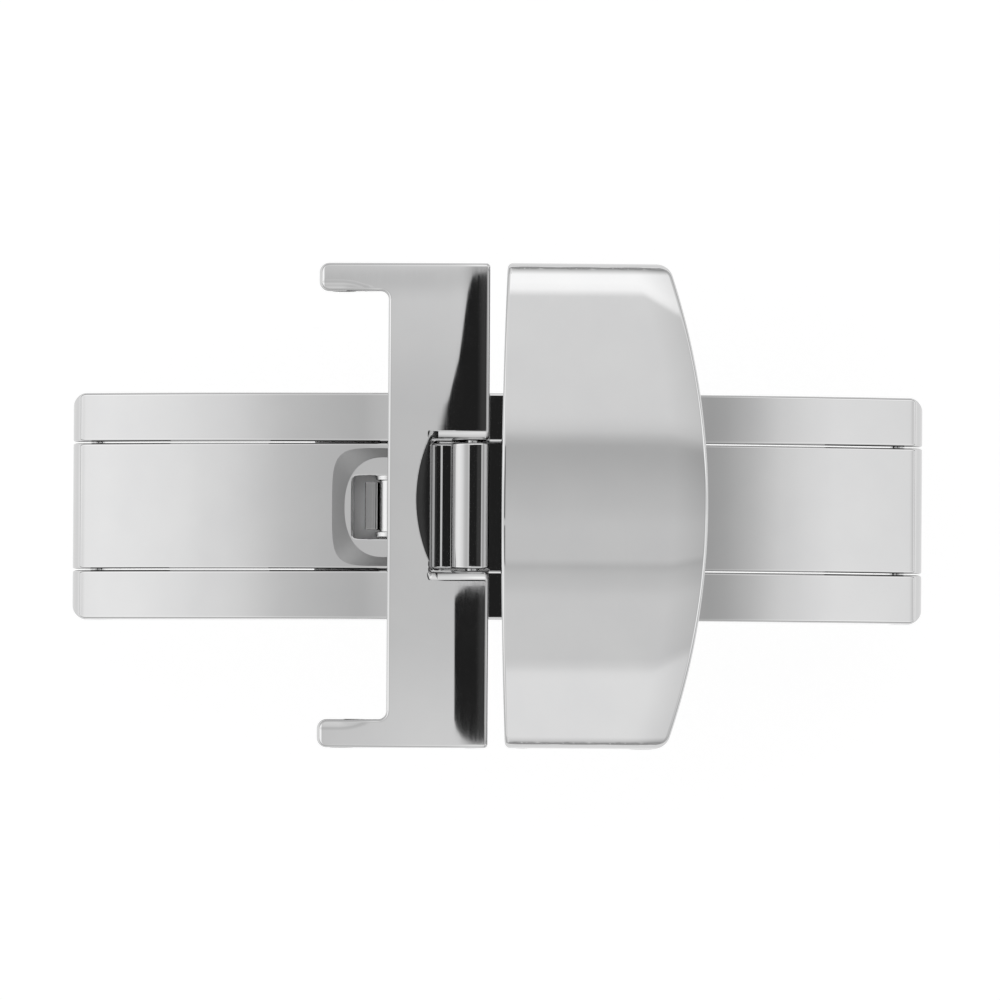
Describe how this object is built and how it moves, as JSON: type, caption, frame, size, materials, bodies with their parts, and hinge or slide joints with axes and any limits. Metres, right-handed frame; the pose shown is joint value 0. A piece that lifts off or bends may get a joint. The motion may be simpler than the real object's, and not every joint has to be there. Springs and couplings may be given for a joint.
{
  "type": "deployant clasp",
  "caption": "Curved butterfly folding clasp for a leather watch strap, with two hinged arms, a T-shaped strap link with lugs and a wide cover.",
  "frame": {"origin": "under the middle of the closed clasp, on the plane that its two hinge ends rest on", "axes": "+X along the clasp from the strap link to the cover, +Y across the strap, +Z away from the wrist"},
  "size_m": [0.036, 0.0204, 0.0103],
  "materials": {
    "polished_steel": "mirror polished",
    "pin_steel": "polished",
    "roller_steel": "polished",
    "spring_steel": "satin"
  },
  "bodies": {
    "base": {"base_frame": "polished_steel", "left_hinge_pin": "pin_steel", "right_hinge_pin": "pin_steel", "left_catch_spring": "spring_steel", "right_catch_spring": "spring_steel", "catch_spring_rivets": "spring_steel"},
    "left_arm": {"left_arm": "polished_steel", "left_hinge_tube": "pin_steel", "strap_link_tube": "pin_steel", "left_catch_pin": "roller_steel"},
    "right_arm": {"right_arm": "polished_steel", "right_hinge_tube": "pin_steel", "cover_tube": "pin_steel", "right_catch_pin": "roller_steel"},
    "strap_link": {"strap_link": "polished_steel", "strap_link_pin": "pin_steel"},
    "cover": {"cover": "polished_steel", "cover_pin": "pin_steel"},
    "left_roller": {"left_catch_roller": "roller_steel"},
    "right_roller": {"right_catch_roller": "roller_steel"}
  },
  "joints": [
    {"name": "left_arm_hinge", "type": "hinge", "parent": "base", "child": "left_arm", "pos_m": [-0.0169, 0, 0.00105], "axis": [0, -1, 0], "range_deg": [0, 170], "deforming": ["left_catch_spring"]},
    {"name": "right_arm_hinge", "type": "hinge", "parent": "base", "child": "right_arm", "pos_m": [0.0169, 0, 0.00105], "axis": [0, 1, 0], "range_deg": [0, 170], "deforming": ["right_catch_spring"]},
    {"name": "strap_link_hinge", "type": "hinge", "parent": "left_arm", "child": "strap_link", "pos_m": [-0.00108, 0, 0.00726], "axis": [0, 1, 0], "range_deg": [0, 55]},
    {"name": "cover_hinge", "type": "hinge", "parent": "right_arm", "child": "cover", "pos_m": [0.00108, 0, 0.00726], "axis": [0, -1, 0], "range_deg": [0, 25]},
    {"name": "left_roller_spin", "type": "hinge", "parent": "left_arm", "child": "left_roller", "pos_m": [-0.0045, 0, 0.00548], "axis": [0, 1, 0], "continuous": true},
    {"name": "right_roller_spin", "type": "hinge", "parent": "right_arm", "child": "right_roller", "pos_m": [0.0045, 0, 0.00548], "axis": [0, 1, 0], "continuous": true}
  ]
}
